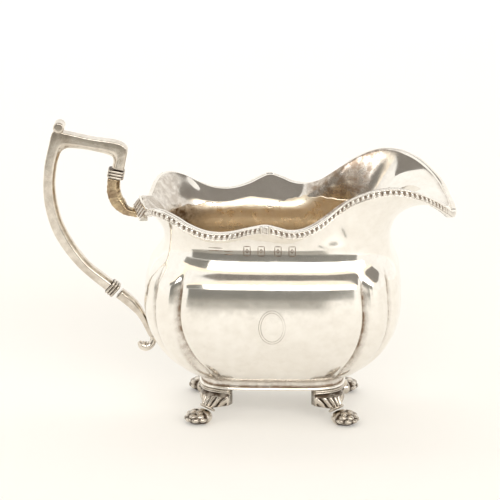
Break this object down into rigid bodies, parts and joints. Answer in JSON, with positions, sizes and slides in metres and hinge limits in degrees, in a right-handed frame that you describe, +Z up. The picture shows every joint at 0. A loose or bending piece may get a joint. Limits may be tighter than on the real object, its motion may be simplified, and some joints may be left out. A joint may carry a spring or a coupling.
{
  "type": "cream jug",
  "caption": "Oblong silver cream jug with lobed corners, a gadrooned shaped rim, a wide spout, an angular handle and lion's-paw feet.",
  "frame": {"origin": "centre of the bounding box in plan, on the plane that the feet stand on", "axes": "+X from the handle towards the spout, +Y across the jug, +Z up"},
  "size_m": [0.1455, 0.0756, 0.1053],
  "materials": {
    "raised_silver": "polished sterling silver with fine wear scratches, gilt inside",
    "border_silver": "struck silver wire with dark tarnish in the furrows",
    "cast_silver": "cast and chased silver, softly polished, tarnished in the recesses",
    "gilding": "worn gold wash inside the bowl"
  },
  "bodies": {
    "root": {"body_shell": "raised_silver", "base_plate": "raised_silver", "base_collar": "raised_silver", "base_wire": "border_silver", "border_front_near": "border_silver", "border_front_far": "border_silver", "border_back_near": "border_silver", "border_back_far": "border_silver", "border_back_bracket": "border_silver", "side_tablet_near": "border_silver", "side_tablet_far": "border_silver", "handle_grip": "cast_silver", "handle_upper_branch": "cast_silver", "handle_lower_branch": "cast_silver", "handle_upper_collar": "cast_silver", "handle_lower_collar": "cast_silver", "handle_thumb_roll": "cast_silver", "handle_tail_scroll": "cast_silver", "foot_knee_front_near": "cast_silver", "foot_knee_front_far": "cast_silver", "foot_knee_back_near": "cast_silver", "foot_knee_back_far": "cast_silver", "foot_ankle_front_near": "cast_silver", "foot_ankle_front_far": "cast_silver", "foot_ankle_back_near": "cast_silver", "foot_ankle_back_far": "cast_silver", "foot_paw_front_near": "cast_silver", "foot_paw_front_far": "cast_silver", "foot_paw_back_near": "cast_silver", "foot_paw_back_far": "cast_silver"}
  },
  "joints": []
}
